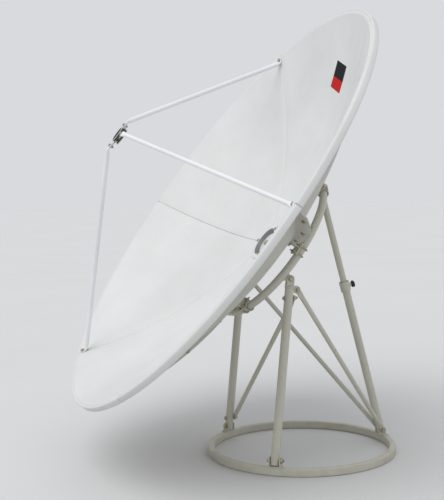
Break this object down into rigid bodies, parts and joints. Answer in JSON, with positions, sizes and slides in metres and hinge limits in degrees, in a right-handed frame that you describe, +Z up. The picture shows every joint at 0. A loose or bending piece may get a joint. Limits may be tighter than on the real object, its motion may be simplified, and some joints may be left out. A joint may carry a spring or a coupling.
{
  "type": "satellite dish",
  "caption": "Prime-focus parabolic satellite dish of sheet steel petals on a ring-foot ground mount, with a tilting mount ring, a telescoping rear leg and a feed ring on bent struts.",
  "frame": {"origin": "on the ground, in the middle of the footprint of the whole object as set", "axes": "+Z up, the dish faces -Y, +X is the right-hand side seen from behind the rear leg looking at the dish's back, and the dish tilts about an axis along X"},
  "size_m": [1.8, 1.2532, 1.7123],
  "materials": {
    "reflector_paint": "satin",
    "mount_paint": "satin",
    "strut_paint": "satin",
    "zinc": "satin",
    "knob_plastic": "matte"
  },
  "bodies": {
    "stand": {"base_ring": "mount_paint", "left_foot_clevis": "mount_paint", "left_foot_bolt": "zinc", "right_foot_clevis": "mount_paint", "right_foot_bolt": "zinc", "rear_foot_clevis": "mount_paint", "rear_foot_bolt": "zinc", "front_leg_left": "mount_paint", "leg_head_left": "mount_paint", "tilt_bolt_left": "zinc", "front_leg_right": "mount_paint", "leg_head_right": "mount_paint", "tilt_bolt_right": "zinc", "cross_brace": "mount_paint", "cross_brace_bolt_left": "zinc", "cross_brace_bolt_right": "zinc", "side_brace_left": "mount_paint", "side_brace_bolt_left": "zinc", "side_brace_right": "mount_paint", "side_brace_bolt_right": "zinc"},
    "reflector": {"mount_ring": "mount_paint", "rear_clevis": "mount_paint", "petal_1": "reflector_paint", "petal_2": "reflector_paint", "petal_3": "reflector_paint", "petal_4": "reflector_paint", "petal_5": "reflector_paint", "petal_6": "reflector_paint", "hub_plate_front": "zinc", "hub_plate_rear": "mount_paint", "hub_bolt": "zinc", "ring_bracket_1": "mount_paint", "ring_bracket_2": "mount_paint", "ring_bracket_3": "mount_paint", "ring_bracket_4": "mount_paint", "ring_bracket_5": "mount_paint", "ring_bracket_6": "mount_paint", "feed_ring": "strut_paint", "feed_strut_1": "strut_paint", "strut_foot_bolt_1": "zinc", "feed_ring_bolt_1": "zinc", "feed_strut_2": "strut_paint", "strut_foot_bolt_2": "zinc", "feed_ring_bolt_2": "zinc", "feed_strut_3": "strut_paint", "strut_foot_bolt_3": "zinc", "feed_ring_bolt_3": "zinc"},
    "rear_tube": {"rear_leg_tube": "mount_paint", "clamp_collar": "mount_paint"},
    "rear_rod": {"rear_leg_rod": "mount_paint", "rod_eye": "mount_paint", "top_pivot_bolt": "zinc"},
    "clamp": {"clamp_screw": "zinc", "clamp_knob": "knob_plastic"}
  },
  "joints": [
    {"name": "elevation", "type": "hinge", "parent": "stand", "child": "reflector", "pos_m": [0, 0.11562, 0.71], "axis": [-1, 0, 0], "range_deg": [-12, 22]},
    {"name": "rear_leg_tilt", "type": "hinge", "parent": "stand", "child": "rear_tube", "pos_m": [0, 0.60262, 0.054], "axis": [-1, 0, 0], "range_deg": [-4, 6]},
    {"name": "rear_leg_slide", "type": "slide", "parent": "rear_tube", "child": "rear_rod", "axis": [0, -0.2458, 0.9693], "range_m": [-0.13, 0.07]},
    {"name": "clamp_turn", "type": "hinge", "parent": "rear_tube", "child": "clamp", "pos_m": [0, 0.48273, 0.64878], "axis": [0, 0.9693, 0.2458], "continuous": true}
  ],
  "couplings": [
    {"joint": "rear_leg_tilt", "follows": "elevation", "ratio": 0.2284},
    {"joint": "rear_leg_slide", "follows": "elevation", "m_per_rad": -0.3266}
  ]
}
